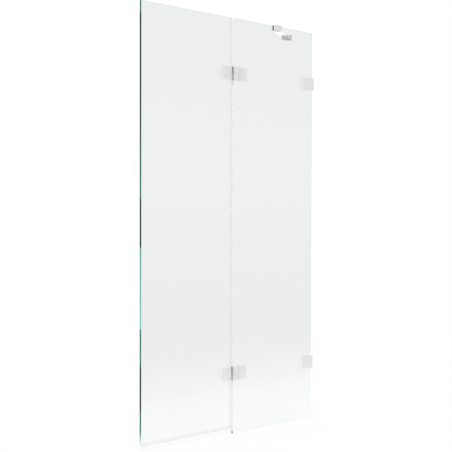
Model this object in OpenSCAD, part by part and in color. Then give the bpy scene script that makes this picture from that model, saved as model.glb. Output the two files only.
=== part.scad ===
// Two-panel glass bath screen.
// A fixed panel is held on the wall by two clamps and a stabiliser bar.
// A moving panel hangs on the fixed one by two butt hinges and swings outwards.
// X runs towards the wall, Y runs from the room to the bath, Z is up.
// The origin is the centre of the lower wall bracket's screw holes, on the wall face.

/* [Glass] */
// Width of the whole screen, from the wall to the free edge
overall_w = 1000; // [900:5:1200]
// Height of the fixed panel
overall_h = 1500; // [1350:5:1700]
// Glass thickness
glass_t = 6; // [5:0.5:8]
// Width of the moving panel
moving_w = 490; // [420:5:520]
// Space between the two panels
joint_gap = 8; // [8:0.5:12]
// Space between the fixed panel and the wall
wall_gap = 3; // [2:0.5:6]
// Height of the moving panel's foot above the fixed panel's foot
foot_lift = 21; // [18:1:30]
// Ground chamfer on the glass edges
glass_arris = 0.6; // [0.3:0.1:1]
// Thickness of the clear pads between metal and glass
pad_t = 1; // [0.6:0.1:2]

/* [Glass fixings] */
// Radius of the holes in the glass
glass_hole_r = 7; // [6:0.5:9]
// Radius of the fixing screws
screw_r = 3; // [2.5:0.25:4]
// Half the width of the hexagon sockets in the screws
socket_half = 1.6; // [1.2:0.1:1.8]
// Depth of the hexagon sockets in the screws
socket_h = 2; // [1.5:0.1:2.2]
// Radius of the countersunk screw heads
screw_head_r = 5.8; // [5.3:0.1:6.5]
// Depth of the countersunk screw heads
screw_head_h = 2.8; // [2.4:0.1:3.2]
// Depth that a screw reaches into a front plate
screw_grip = 6; // [4:0.5:7]
// Depth of a tapped hole beyond its screw's tip
tip_clear = 1; // [0.5:0.25:1]
// Vertical distance between the two screws of a plate
screw_pitch = 26; // [26:1:30]
// Radial clearance of sleeves and screws in their holes
fixing_clear = 0.2; // [0.1:0.05:0.4]

/* [Hinges] */
// Height of a hinge
hinge_h = 50; // [46:1:60]
// Distance from the top of the glass to the upper hinge's centre
hinge_drop = 200; // [150:5:300]
// Distance from the fixed panel's foot to the lower hinge's centre
hinge_rise = 220; // [170:5:300]
// Distance from the pivot to a leaf's outer end
leaf_reach = 71.5; // [66:0.5:80]
// Distance from the pivot to a leaf plate's inner end
leaf_inset = 17.5; // [17:0.5:21]
// Thickness of a leaf plate
leaf_t = 9; // [8:0.5:11]
// Depth of the recess beside the barrel, from the front of a plate to the front of its arm
arm_recess = 4; // [2:0.5:5]
// Distance from the pivot axis to the front of the plates
pivot_proud = 0.4; // [0.3:0.1:1]
// Space between the hinge barrel and the plane of the glass's front face
barrel_clear = 0.2; // [0.2:0.1:1]
// Radius of the hinge pin
pin_r = 4; // [3:0.25:4.5]
// Wall of the bush on the pin
bush_wall = 1.5; // [1:0.25:1.75]
// Thickness of the bush's thrust flange
thrust_t = 1; // [0.6:0.1:2]
// Radial running clearance between bush and pin
pin_clear = 0.05; // [0.02:0.01:0.1]
// Space left between faces that turn past each other
run_gap = 0.3; // [0.2:0.1:0.5]
// Width of the step that a barrel end cap sits on
cap_lip = 1.4; // [1:0.1:1.6]
// Depth of a barrel end cap
cap_t = 3; // [2:0.5:5]
// Radius of the flat discs behind the glass
disc_r = 11.5; // [9.5:0.5:12]
// Thickness of the flat discs behind the glass
disc_t = 3.5; // [3.2:0.1:5]

/* [Wall clamps] */
// Height of a wall clamp
clamp_h = 50; // [46:1:60]
// Distance from the top of the glass to the upper clamp's centre
clamp_drop = 200; // [150:5:300]
// Distance from the fixed panel's foot to the lower clamp's centre
clamp_rise = 220; // [170:5:300]
// Width of a clamp's front plate
clamp_w = 72; // [66:1:80]
// Thickness of a clamp's front plate
clamp_t = 10; // [9:0.5:12]
// Space between a front plate and the wall
clamp_end = 6; // [4:0.5:8]
// Width of the bracket's jaw behind the glass
jaw_w = 50; // [44:1:56]
// Thickness of the bracket's jaw behind the glass
jaw_t = 8; // [6:0.5:10]
// Distance from the wall to the clamp screws
clamp_screw_x = 30; // [26:1:34]
// Depth of the bracket's leg on the wall
leg_depth = 42; // [36:1:48]
// Thickness of the bracket's leg on the wall
leg_t = 6; // [5:0.5:8]
// Radius of the wall screw holes
wall_hole_r = 2.75; // [2.25:0.25:3.5]
// Vertical distance between the wall screw holes
wall_hole_pitch = 28; // [24:1:32]
// Radius of the countersink round a wall screw hole
wall_sink_r = 5.25; // [4.5:0.25:6]

/* [Stabiliser] */
// Distance from the wall to the middle of the glass clamp
stay_x = 236; // [220:2:320]
// Width of the glass clamp
stay_clamp_w = 46; // [42:1:50]
// Height of the glass clamp below the top of the glass
stay_clamp_drop = 17.5; // [16.5:0.5:20]
// Thickness of the bridge over the top of the glass
stay_bridge_t = 3; // [2.5:0.5:6]
// Thickness of the clamp's front jaw
stay_front_t = 5; // [4:0.5:8]
// Thickness of the clamp's back jaw
stay_back_t = 11; // [10:0.5:13]
// Thickness of the rubber lining in the clamp
stay_liner_t = 1.5; // [1:0.25:2]
// Distance from the clamp's middle to its pivot, towards the wall
stay_pivot_shift = 13; // [8:0.5:13]
// Distance from the back jaw's rear face to the pivot
stay_pivot_back = 3.5; // [3.5:0.5:6]
// Width of the bar
bar_w = 20; // [16:1:20]
// Height of the bar
bar_h = 10; // [9:0.5:11]
// Distance from the top of the glass down to the top of the bar
bar_drop = 2; // [1.5:0.25:3]
// Distance from the wall to the bar's wall pivot
bar_wall_x = 44; // [40:1:70]
// Distance from the glass's middle plane to the wall flange's middle
bar_wall_y = 107; // [80:1:140]
// Radius of the pivot screws
stay_screw_r = 3; // [2.5:0.25:3.5]
// Thickness of the washers at the pivots
stay_washer_t = 1; // [0.6:0.1:1.5]
// Thickness of the tongue under the bar
tongue_t = 8; // [6:0.5:10]
// Length of a pivot screw in the bar
pivot_grip = 7; // [5:0.5:7]
// Thickness of the wall flange, from the wall to its front
flange_t = 18; // [12:1:20]
// Height of the wall flange above the tongue's lower face
flange_h = 22; // [20:1:26]
// Radius of the flange's wall screw hole
flange_hole_r = 2.25; // [2:0.25:2.5]
// Radius of the countersink round the flange's screw hole
flange_sink_r = 4.25; // [4:0.25:5]
// Distance from the clamp's middle to the grub screw, away from the wall
grub_shift = 11; // [10:0.5:14]
// Radius of the grub screw in the back jaw
grub_r = 2.5; // [2:0.25:3]
// Thickness of the pressure plate under the grub screw
press_t = 2; // [1.5:0.25:2.5]
// Distance from the pressure plate to the clamp's edges
press_margin = 4; // [3:0.5:5]
// Space round the pressure plate in its recess
press_clear = 0.5; // [0.3:0.1:0.6]
// Space round the bar's end in the clamp
bar_clear = 0.5; // [0.3:0.1:0.6]

/* [Seals] */
// Wall of the clear seals
seal_t = 1; // [0.8:0.1:1.2]
// Length of the vertical seal's legs on the glass
joint_leg = 9.5; // [8:0.5:13]
// Length of the vertical seal's fin behind the fixed panel
joint_fin = 9; // [6:0.5:12]
// Length of the vertical seal below the moving panel's foot
joint_tail = 13; // [0:0.5:15]
// Space between the front of the vertical seal's bulb and the glass's front plane
bulb_inset = 0.1; // [0.1:0.1:1]
// Length of the drip seal's legs on the glass
drip_leg = 11; // [8:0.5:14]
// Height of the drip seal's blade
drip_blade = 15; // [10:0.5:16]
// Space between a seal and the glass inside it
seal_clear = 0.1; // [0.05:0.05:0.2]
// Space left above and below a hinge where the vertical seal is cut away
seal_notch = 1.5; // [1:0.5:3]

/* [Finish] */
// Chamfer on the edges of the metal plates
edge_chamfer = 0.6; // [0.3:0.1:1]
// Space round a piece that is pushed into its seat
fit_clear = 0.03; // [0.02:0.01:0.05]

/* [Hidden] */
$fn = 64;

// Distance that a cut runs past the face it opens
past = 1;

// Faces of the glass, measured from its middle plane
glass_front = -glass_t / 2;
glass_back = glass_t / 2;

// Places along the wall direction
free_edge_x = -overall_w;
moving_edge_x = free_edge_x + moving_w;
fixed_edge_x = moving_edge_x + joint_gap;
wall_edge_x = -wall_gap;
pivot_x = (moving_edge_x + fixed_edge_x) / 2;

// Heights, measured from the lower wall clamp's middle
foot_z = -clamp_rise;
top_z = foot_z + overall_h;
moving_foot_z = foot_z + foot_lift;
moving_h = top_z - moving_foot_z;
upper_hinge_z = top_z - hinge_drop;
lower_hinge_z = foot_z + hinge_rise;
upper_clamp_z = top_z - clamp_drop;
lower_clamp_z = 0;

// The bracket's screw holes lie in the middle of the free part of its leg
jaw_front = glass_back + pad_t;
jaw_back = jaw_front + jaw_t;
leg_end = jaw_front + leg_depth;
wall_hole_y = (jaw_back + leg_end) / 2;
glass_y = -wall_hole_y;

// Hinge section
leaf_front = glass_front - pad_t - leaf_t;
pivot_y = leaf_front - pivot_proud;
leaf_screw_x = (leaf_inset + leaf_reach) / 2;
barrel_r = glass_front - barrel_clear - pivot_y;
bush_r = pin_r + pin_clear + bush_wall;
cap_r = bush_r + cap_lip;
half_gap = thrust_t + run_gap;
barrel_foot = -hinge_h / 2;
barrel_top = hinge_h / 2;
lower_barrel_top = -half_gap / 2;
upper_barrel_foot = half_gap / 2;

// Rear of the discs and tip of the screws that hold the front plates
disc_back = glass_back + pad_t + disc_t;
screw_tip = glass_front - pad_t - screw_grip;

// Stabiliser places
stay_front = glass_front - stay_liner_t - stay_front_t;
stay_slot_back = glass_back + stay_liner_t;
stay_back = stay_slot_back + stay_back_t;
stay_top_z = top_z + stay_liner_t + stay_bridge_t;
stay_foot_z = top_z - stay_clamp_drop;
bar_top_z = top_z - bar_drop;
bar_foot_z = bar_top_z - bar_h;
lug_foot_z = bar_top_z + stay_washer_t;
tongue_top_z = bar_foot_z - stay_washer_t;
tongue_foot_z = tongue_top_z - tongue_t;
pivot_a = [-stay_x + stay_pivot_shift, stay_back + stay_pivot_back];
pivot_b = [-bar_wall_x, bar_wall_y];
bar_span = norm(pivot_b - pivot_a);
bar_angle = atan2(pivot_b[1] - pivot_a[1], pivot_b[0] - pivot_a[0]);
grub_x = -stay_x - grub_shift;
grub_z = top_z - stay_clamp_drop / 2;
flange_top_z = tongue_foot_z + flange_h;
flange_hole_z = (tongue_top_z + flange_top_z) / 2;

// Seal section
notch_h = hinge_h + 2 * seal_notch;
web_x = moving_edge_x + seal_clear + seal_t;
bulb_x = fixed_edge_x - run_gap;
bulb_front = glass_front + bulb_inset;
fin_y = glass_back + run_gap;
drip_top = moving_foot_z + drip_leg;

metal = [0.86, 0.87, 0.88];
bright_metal = [0.93, 0.94, 0.95];
steel = [0.62, 0.63, 0.65];
clear_plastic = [0.88, 0.92, 0.92, 0.6];
white_plastic = [0.93, 0.93, 0.9];
rubber = [0.2, 0.21, 0.21];
green_glass = [0.72, 0.9, 0.86, 0.35];

// Puts a piece that is drawn round the glass's middle plane into the part's frame
module on_glass() {
    translate([0, glass_y, 0]) children();
}

// Outline of a rectangle with cut corners
module cut_rectangle(low, high, cut) {
    polygon([
        [low[0] + cut, low[1]], [high[0] - cut, low[1]],
        [high[0], low[1] + cut], [high[0], high[1] - cut],
        [high[0] - cut, high[1]], [low[0] + cut, high[1]],
        [low[0], high[1] - cut], [low[0], low[1] + cut],
    ]);
}

// Block between two corners, with its twelve edges chamfered
module bevelled_block(low, high, cut) {
    intersection() {
        translate([0, 0, low[2]])
            linear_extrude(high[2] - low[2])
                cut_rectangle([low[0], low[1]], [high[0], high[1]], cut);
        translate([0, high[1], 0])
            rotate([90, 0, 0])
                linear_extrude(high[1] - low[1])
                    cut_rectangle([low[0], low[2]], [high[0], high[2]], cut);
        translate([low[0], 0, 0])
            rotate([90, 0, 90])
                linear_extrude(high[0] - low[0])
                    cut_rectangle([low[1], low[2]], [high[1], high[2]], cut);
    }
}

// Plain block between two corners
module block(low, high) {
    translate(low) cube(high - low);
}

// Cylinder along Y between two planes
module rod_y(x, z, r, y0, y1) {
    translate([x, y1, z])
        rotate([90, 0, 0])
            cylinder(r = r, h = y1 - y0);
}

// Repeats a piece at the two screw heights of a plate centred on height z
module at_screw_pair(z, pitch) {
    for (side = [-1, 1])
        translate([0, 0, z + side * pitch / 2]) children();
}

// Hexagon rod along Z, as wide as a screw's socket
module hexagon_rod(h) {
    cylinder(r = 2 * socket_half / sqrt(3), h = h, $fn = 6);
}

// Countersunk screw along Y, its flat head at head_y and its tip at tip_y
module sunk_screw(x, head_y, tip_y) {
    difference() {
        union() {
            rod_y(x, 0, screw_r - fixing_clear / 2, tip_y, head_y - screw_head_h / 2);
            translate([x, head_y, 0])
                rotate([90, 0, 0])
                    cylinder(r1 = screw_head_r, r2 = screw_r - fixing_clear / 2, h = screw_head_h);
        }
        translate([x, head_y - socket_h, 0])
            rotate([-90, 0, 0])
                hexagon_rod(2 * socket_h);
    }
}

// Space that a countersunk screw takes, from head_y to tip_y
module sunk_hole(x, head_y, tip_y) {
    rod_y(x, 0, screw_r, tip_y, head_y + past);
    translate([x, head_y, 0])
        rotate([90, 0, 0])
            cylinder(r1 = screw_head_r + fixing_clear, r2 = screw_r, h = screw_head_h + fixing_clear);
}

// Sheet of glass with a ground chamfer, its corners given in X and Z
module glass_sheet(x0, x1, z0, z1) {
    bevelled_block([x0, glass_front, z0], [x1, glass_back, z1], glass_arris);
}

// Row of fixing holes through the glass
module glass_holes(x, z) {
    at_screw_pair(z, screw_pitch)
        rod_y(x, 0, glass_hole_r, glass_front - past, glass_back + past);
}

module fixed_glass() {
    color(green_glass)
        on_glass()
            difference() {
                glass_sheet(fixed_edge_x, wall_edge_x, foot_z, top_z);
                for (z = [upper_hinge_z, lower_hinge_z])
                    glass_holes(pivot_x + leaf_screw_x, z);
                for (z = [upper_clamp_z, lower_clamp_z])
                    glass_holes(-clamp_screw_x, z);
            }
}

module moving_glass() {
    color(green_glass)
        on_glass()
            difference() {
                glass_sheet(free_edge_x, moving_edge_x, moving_foot_z, top_z);
                for (z = [upper_hinge_z, lower_hinge_z])
                    glass_holes(pivot_x - leaf_screw_x, z);
            }
}

// Vertical seal: a channel on the moving panel's edge, a hollow bulb that fills the joint,
// and a fin behind the fixed panel
module joint_seal() {
    inner = glass_t / 2 + seal_clear;
    outer = inner + seal_t;
    leg_x = moving_edge_x - joint_leg;
    foot = moving_foot_z - joint_tail;
    color(clear_plastic)
        on_glass()
            difference() {
                translate([0, 0, foot])
                    linear_extrude(moving_h + joint_tail)
                        difference() {
                            polygon([
                                [leg_x, -outer], [web_x, -outer],
                                [web_x, bulb_front], [bulb_x, bulb_front],
                                [bulb_x, fin_y], [fixed_edge_x + joint_fin, fin_y],
                                [fixed_edge_x + joint_fin, fin_y + seal_t],
                                [leg_x, outer], [leg_x, inner],
                                [web_x - seal_t, inner], [web_x - seal_t, -inner],
                                [leg_x, -inner],
                            ]);
                            polygon([
                                [web_x, bulb_front + seal_t], [bulb_x - seal_t, bulb_front + seal_t],
                                [bulb_x - seal_t, inner], [web_x, inner],
                            ]);
                        }
                for (z = [upper_hinge_z, lower_hinge_z])
                    block([leg_x - past, -outer - past, z - notch_h / 2],
                          [web_x + past, glass_front, z + notch_h / 2]);
                block([leg_x - past, -outer - past, foot - past],
                      [moving_edge_x, outer + past, drip_top + run_gap]);
            }
}

// Drip seal: a channel on the moving panel's foot, with a blade below it
module drip_seal() {
    inner = glass_t / 2 + seal_clear;
    outer = inner + seal_t;
    web_z = moving_foot_z - seal_clear;
    blade_foot = web_z - seal_t - drip_blade;
    color(clear_plastic)
        on_glass()
            translate([free_edge_x, 0, 0])
                rotate([90, 0, 90])
                    linear_extrude(moving_w)
                        polygon([
                            [-outer, drip_top], [-inner, drip_top],
                            [-inner, web_z], [inner, web_z],
                            [inner, drip_top], [outer, drip_top],
                            [outer, web_z - seal_t],
                            [seal_t, web_z - seal_t],
                            [seal_t, blade_foot],
                            [0, blade_foot],
                            [0, web_z - seal_t],
                            [-outer, web_z - seal_t],
                        ]);
}

// One half of a hinge barrel, round the pivot
module barrel_half(z0, z1) {
    translate([pivot_x, pivot_y, z0]) cylinder(r = barrel_r, h = z1 - z0);
}

// Arm that joins half a barrel to its plate, on the given side of the pivot
module leaf_arm(side, z0, z1) {
    low_x = side < 0 ? pivot_x - leaf_inset - edge_chamfer : pivot_x;
    high_x = side < 0 ? pivot_x : pivot_x + leaf_inset + edge_chamfer;
    block([low_x, leaf_front + arm_recess, z0],
          [high_x, glass_front - pad_t - edge_chamfer, z1]);
}

// Shelf as deep as the arm, that runs the leaf's whole height and ends short of the barrel
module leaf_shelf(side) {
    low_x = side < 0 ? pivot_x - leaf_inset - edge_chamfer : pivot_x + barrel_r + run_gap;
    high_x = side < 0 ? pivot_x - barrel_r - run_gap : pivot_x + leaf_inset + edge_chamfer;
    block([low_x, leaf_front + arm_recess, barrel_foot + edge_chamfer],
          [high_x, glass_front - pad_t - edge_chamfer, barrel_top - edge_chamfer]);
}

// Plate of a leaf, on the given side of the pivot
module leaf_plate(side) {
    low_x = side < 0 ? pivot_x - leaf_reach : pivot_x + leaf_inset;
    high_x = side < 0 ? pivot_x - leaf_inset : pivot_x + leaf_reach;
    bevelled_block([low_x, leaf_front, barrel_foot],
                   [high_x, glass_front - pad_t, barrel_top], edge_chamfer);
}

// Blind holes for the two screws of a leaf
module leaf_screw_holes(side) {
    at_screw_pair(0, screw_pitch)
        rod_y(pivot_x + side * leaf_screw_x, 0, screw_r, screw_tip - tip_clear, glass_front);
}

// Leaf on the moving panel, with the upper half of the barrel
module moving_leaf() {
    difference() {
        union() {
            leaf_plate(-1);
            barrel_half(upper_barrel_foot, barrel_top);
            leaf_arm(-1, upper_barrel_foot, barrel_top - edge_chamfer);
            leaf_shelf(-1);
        }
        translate([pivot_x, pivot_y, 0]) cylinder(r = bush_r + fit_clear, h = hinge_h);
        translate([pivot_x, pivot_y, barrel_top - cap_t]) cylinder(r = cap_r + fit_clear, h = hinge_h);
        leaf_screw_holes(-1);
    }
}

// Leaf on the fixed panel, with the lower half of the barrel
module fixed_leaf() {
    difference() {
        union() {
            leaf_plate(1);
            barrel_half(barrel_foot, lower_barrel_top);
            leaf_arm(1, barrel_foot + edge_chamfer, lower_barrel_top);
            leaf_shelf(1);
        }
        translate([pivot_x, pivot_y, -hinge_h]) cylinder(r = pin_r + pin_clear, h = hinge_h);
        translate([pivot_x, pivot_y, barrel_foot - hinge_h])
            cylinder(r = cap_r + fit_clear, h = hinge_h + cap_t);
        leaf_screw_holes(1);
    }
}

// Pin that is fast in the lower half of the barrel
module hinge_pin() {
    z0 = barrel_foot + cap_t;
    z1 = barrel_top - cap_t - run_gap;
    translate([pivot_x, pivot_y, z0]) cylinder(r = pin_r, h = z1 - z0);
}

// Flanged bush in the upper half of the barrel
module hinge_bush() {
    difference() {
        translate([pivot_x, pivot_y, 0])
            union() {
                translate([0, 0, upper_barrel_foot - thrust_t])
                    cylinder(r = barrel_r - edge_chamfer, h = thrust_t);
                translate([0, 0, upper_barrel_foot - thrust_t])
                    cylinder(r = bush_r, h = barrel_top - cap_t - upper_barrel_foot + thrust_t);
            }
        translate([pivot_x, pivot_y, -hinge_h])
            cylinder(r = pin_r + pin_clear, h = 2 * hinge_h);
    }
}

// Cap that closes one end of the barrel
module barrel_cap(z) {
    translate([pivot_x, pivot_y, z]) cylinder(r = cap_r, h = cap_t);
}

// Clear pad between a leaf and the glass
module leaf_pad(side) {
    x0 = pivot_x + side * (leaf_inset + edge_chamfer);
    x1 = pivot_x + side * (leaf_reach - edge_chamfer);
    half_h = hinge_h / 2 - edge_chamfer;
    difference() {
        block([min(x0, x1), glass_front - pad_t, -half_h], [max(x0, x1), glass_front, half_h]);
        at_screw_pair(0, screw_pitch)
            rod_y(pivot_x + side * leaf_screw_x, 0, screw_r + fixing_clear,
                  glass_front - pad_t - past, glass_front + past);
    }
}

// Sleeve in a glass hole, with a flange behind the glass
module glass_sleeve(x, flange_r) {
    difference() {
        union() {
            rod_y(x, 0, glass_hole_r - fixing_clear, glass_front, glass_back);
            rod_y(x, 0, flange_r, glass_back, glass_back + pad_t);
        }
        rod_y(x, 0, screw_r + fixing_clear, glass_front - past, glass_back + pad_t + past);
    }
}

// Flat disc that holds a leaf from behind the glass
module back_disc(x) {
    difference() {
        translate([x, glass_back + pad_t, 0])
            rotate([-90, 0, 0])
                rotate_extrude()
                    polygon([
                        [0, 0], [disc_r, 0], [disc_r, disc_t - edge_chamfer],
                        [disc_r - edge_chamfer, disc_t], [0, disc_t],
                    ]);
        sunk_hole(x, disc_back, glass_back);
    }
}

module leaf_sleeves(side) {
    at_screw_pair(0, screw_pitch) glass_sleeve(pivot_x + side * leaf_screw_x, disc_r - edge_chamfer);
}

module leaf_discs(side) {
    at_screw_pair(0, screw_pitch) back_disc(pivot_x + side * leaf_screw_x);
}

module leaf_screws(side) {
    at_screw_pair(0, screw_pitch)
        sunk_screw(pivot_x + side * leaf_screw_x, disc_back, screw_tip);
}

// Puts a hinge piece at its height
module at_hinge(z) {
    on_glass() translate([0, 0, z]) children();
}

module upper_hinge_moving_leaf() { color(metal) at_hinge(upper_hinge_z) moving_leaf(); }
module upper_hinge_fixed_leaf() { color(metal) at_hinge(upper_hinge_z) fixed_leaf(); }
module upper_hinge_pin() { color(steel) at_hinge(upper_hinge_z) hinge_pin(); }
module upper_hinge_bush() { color(white_plastic) at_hinge(upper_hinge_z) hinge_bush(); }
module upper_hinge_top_cap() { color(bright_metal) at_hinge(upper_hinge_z) barrel_cap(barrel_top - cap_t); }
module upper_hinge_bottom_cap() { color(bright_metal) at_hinge(upper_hinge_z) barrel_cap(barrel_foot); }
module upper_hinge_moving_pad() { color(clear_plastic) at_hinge(upper_hinge_z) leaf_pad(-1); }
module upper_hinge_fixed_pad() { color(clear_plastic) at_hinge(upper_hinge_z) leaf_pad(1); }
module upper_hinge_moving_sleeves() { color(clear_plastic) at_hinge(upper_hinge_z) leaf_sleeves(-1); }
module upper_hinge_fixed_sleeves() { color(clear_plastic) at_hinge(upper_hinge_z) leaf_sleeves(1); }
module upper_hinge_moving_discs() { color(metal) at_hinge(upper_hinge_z) leaf_discs(-1); }
module upper_hinge_fixed_discs() { color(metal) at_hinge(upper_hinge_z) leaf_discs(1); }
module upper_hinge_moving_screws() { color(steel) at_hinge(upper_hinge_z) leaf_screws(-1); }
module upper_hinge_fixed_screws() { color(steel) at_hinge(upper_hinge_z) leaf_screws(1); }

module lower_hinge_moving_leaf() { color(metal) at_hinge(lower_hinge_z) moving_leaf(); }
module lower_hinge_fixed_leaf() { color(metal) at_hinge(lower_hinge_z) fixed_leaf(); }
module lower_hinge_pin() { color(steel) at_hinge(lower_hinge_z) hinge_pin(); }
module lower_hinge_bush() { color(white_plastic) at_hinge(lower_hinge_z) hinge_bush(); }
module lower_hinge_top_cap() { color(bright_metal) at_hinge(lower_hinge_z) barrel_cap(barrel_top - cap_t); }
module lower_hinge_bottom_cap() { color(bright_metal) at_hinge(lower_hinge_z) barrel_cap(barrel_foot); }
module lower_hinge_moving_pad() { color(clear_plastic) at_hinge(lower_hinge_z) leaf_pad(-1); }
module lower_hinge_fixed_pad() { color(clear_plastic) at_hinge(lower_hinge_z) leaf_pad(1); }
module lower_hinge_moving_sleeves() { color(clear_plastic) at_hinge(lower_hinge_z) leaf_sleeves(-1); }
module lower_hinge_fixed_sleeves() { color(clear_plastic) at_hinge(lower_hinge_z) leaf_sleeves(1); }
module lower_hinge_moving_discs() { color(metal) at_hinge(lower_hinge_z) leaf_discs(-1); }
module lower_hinge_fixed_discs() { color(metal) at_hinge(lower_hinge_z) leaf_discs(1); }
module lower_hinge_moving_screws() { color(steel) at_hinge(lower_hinge_z) leaf_screws(-1); }
module lower_hinge_fixed_screws() { color(steel) at_hinge(lower_hinge_z) leaf_screws(1); }

// Front plate of a wall clamp, tapped from behind for its screws
module clamp_front_plate() {
    front = glass_front - pad_t - clamp_t;
    difference() {
        bevelled_block([-clamp_end - clamp_w, front, -clamp_h / 2],
                       [-clamp_end, glass_front - pad_t, clamp_h / 2], edge_chamfer);
        at_screw_pair(0, screw_pitch)
            rod_y(-clamp_screw_x, 0, screw_r, screw_tip - tip_clear, glass_front);
    }
}

// Angle bracket: a jaw behind the glass and a leg on the wall
module clamp_wall_bracket() {
    difference() {
        union() {
            bevelled_block([-jaw_w, jaw_front, -clamp_h / 2], [0, jaw_back, clamp_h / 2], edge_chamfer);
            bevelled_block([-leg_t, jaw_front, -clamp_h / 2], [0, leg_end, clamp_h / 2], edge_chamfer);
        }
        at_screw_pair(0, screw_pitch) sunk_hole(-clamp_screw_x, jaw_back, glass_back);
        at_screw_pair(0, wall_hole_pitch)
            translate([-leg_t, wall_hole_y, 0])
                rotate([0, 90, 0]) {
                    translate([0, 0, -past]) cylinder(r = wall_hole_r, h = leg_t + 2 * past);
                    cylinder(r1 = wall_sink_r, r2 = wall_hole_r, h = wall_sink_r - wall_hole_r);
                }
    }
}

// Clear pad between a clamp plate and the glass
module clamp_pad(x0, x1, y0) {
    half_h = clamp_h / 2 - edge_chamfer;
    difference() {
        block([x0, y0, -half_h], [x1, y0 + pad_t, half_h]);
        at_screw_pair(0, screw_pitch)
            rod_y(-clamp_screw_x, 0, screw_r + fixing_clear, y0 - past, y0 + pad_t + past);
    }
}

module clamp_front_pad() {
    clamp_pad(-clamp_end - clamp_w + edge_chamfer, -clamp_end - edge_chamfer, glass_front - pad_t);
}

module clamp_rear_pad() {
    clamp_pad(-jaw_w + edge_chamfer, wall_edge_x - edge_chamfer, glass_back);
}

module clamp_sleeves() {
    at_screw_pair(0, screw_pitch)
        difference() {
            rod_y(-clamp_screw_x, 0, glass_hole_r - fixing_clear, glass_front, glass_back);
            rod_y(-clamp_screw_x, 0, screw_r + fixing_clear, glass_front - past, glass_back + past);
        }
}

module clamp_screws() {
    at_screw_pair(0, screw_pitch) sunk_screw(-clamp_screw_x, jaw_back, screw_tip);
}

// Puts a clamp piece at its height
module at_clamp(z) {
    on_glass() translate([0, 0, z]) children();
}

module upper_clamp_front_plate() { color(metal) at_clamp(upper_clamp_z) clamp_front_plate(); }
module upper_clamp_wall_bracket() { color(metal) at_clamp(upper_clamp_z) clamp_wall_bracket(); }
module upper_clamp_front_pad() { color(clear_plastic) at_clamp(upper_clamp_z) clamp_front_pad(); }
module upper_clamp_rear_pad() { color(clear_plastic) at_clamp(upper_clamp_z) clamp_rear_pad(); }
module upper_clamp_sleeves() { color(clear_plastic) at_clamp(upper_clamp_z) clamp_sleeves(); }
module upper_clamp_screws() { color(steel) at_clamp(upper_clamp_z) clamp_screws(); }
module lower_clamp_front_plate() { color(metal) at_clamp(lower_clamp_z) clamp_front_plate(); }
module lower_clamp_wall_bracket() { color(metal) at_clamp(lower_clamp_z) clamp_wall_bracket(); }
module lower_clamp_front_pad() { color(clear_plastic) at_clamp(lower_clamp_z) clamp_front_pad(); }
module lower_clamp_rear_pad() { color(clear_plastic) at_clamp(lower_clamp_z) clamp_rear_pad(); }
module lower_clamp_sleeves() { color(clear_plastic) at_clamp(lower_clamp_z) clamp_sleeves(); }
module lower_clamp_screws() { color(steel) at_clamp(lower_clamp_z) clamp_screws(); }

// Puts a piece that is drawn along the bar, from its glass pivot, in its place
module along_bar() {
    on_glass()
        translate([pivot_a[0], pivot_a[1], 0])
            rotate([0, 0, bar_angle])
                children();
}

// Space that the bar takes, with round ends, grown by a margin
module bar_space(margin, z0, z1) {
    half_w = bar_w / 2 + margin;
    for (x = [0, bar_span])
        translate([x, 0, z0]) cylinder(r = half_w, h = z1 - z0);
    block([0, -half_w, z0], [bar_span, half_w, z1]);
}

// Bar with round ends and chamfered edges
module bar_solid() {
    half_w = bar_w / 2;
    cut = edge_chamfer;
    for (x = [0, bar_span])
        translate([x, 0, 0])
            rotate_extrude()
                polygon([
                    [0, bar_foot_z], [half_w - cut, bar_foot_z], [half_w, bar_foot_z + cut],
                    [half_w, bar_top_z - cut], [half_w - cut, bar_top_z], [0, bar_top_z],
                ]);
    rotate([90, 0, 90])
        linear_extrude(bar_span)
            cut_rectangle([-half_w, bar_foot_z], [half_w, bar_top_z], cut);
}

// Upright pivot screw, its flat head at head_z and its tip at tip_z
module pivot_screw(head_z, tip_z) {
    way = head_z > tip_z ? 0 : 180;
    long = abs(head_z - tip_z);
    translate([0, 0, tip_z])
        rotate([way, 0, 0])
            difference() {
                union() {
                    cylinder(r = stay_screw_r - fixing_clear / 2, h = long);
                    translate([0, 0, long - screw_head_h]) cylinder(r = screw_head_r, h = screw_head_h);
                }
                translate([0, 0, long - socket_h]) hexagon_rod(2 * socket_h);
            }
}

// Clamp that sits over the top of the fixed panel, with a lug above the bar's end
module stabiliser_glass_clamp() {
    x0 = -stay_x - stay_clamp_w / 2;
    x1 = -stay_x + stay_clamp_w / 2;
    color(metal)
        difference() {
            on_glass() {
                bevelled_block([x0, stay_front, stay_foot_z], [x1, stay_back, stay_top_z], edge_chamfer);
                translate([pivot_a[0], pivot_a[1], lug_foot_z])
                    cylinder(r = bar_w / 2, h = stay_top_z - lug_foot_z);
                block([pivot_a[0] - bar_w / 2, stay_slot_back, lug_foot_z],
                      [pivot_a[0] + bar_w / 2, pivot_a[1], stay_top_z]);
            }
            on_glass() {
                block([x0 - past, glass_front - stay_liner_t, stay_foot_z - past],
                      [x1 + past, stay_slot_back, top_z + stay_liner_t]);
                block([x0 + press_margin - press_clear, stay_slot_back - past,
                       stay_foot_z + press_margin - press_clear],
                      [x1 - press_margin + press_clear, stay_slot_back + press_t + fit_clear,
                       top_z - press_margin + press_clear]);
                rod_y(grub_x, grub_z, grub_r + fit_clear, stay_slot_back - past, stay_back + past);
                translate([pivot_a[0], pivot_a[1], lug_foot_z - past])
                    cylinder(r = stay_screw_r + fixing_clear, h = 2 * (stay_top_z - lug_foot_z));
                translate([pivot_a[0], pivot_a[1], stay_top_z - screw_head_h])
                    cylinder(r = screw_head_r + fixing_clear, h = 2 * screw_head_h);
            }
            along_bar() bar_space(bar_clear, stay_foot_z - past, lug_foot_z);
        }
}

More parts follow.
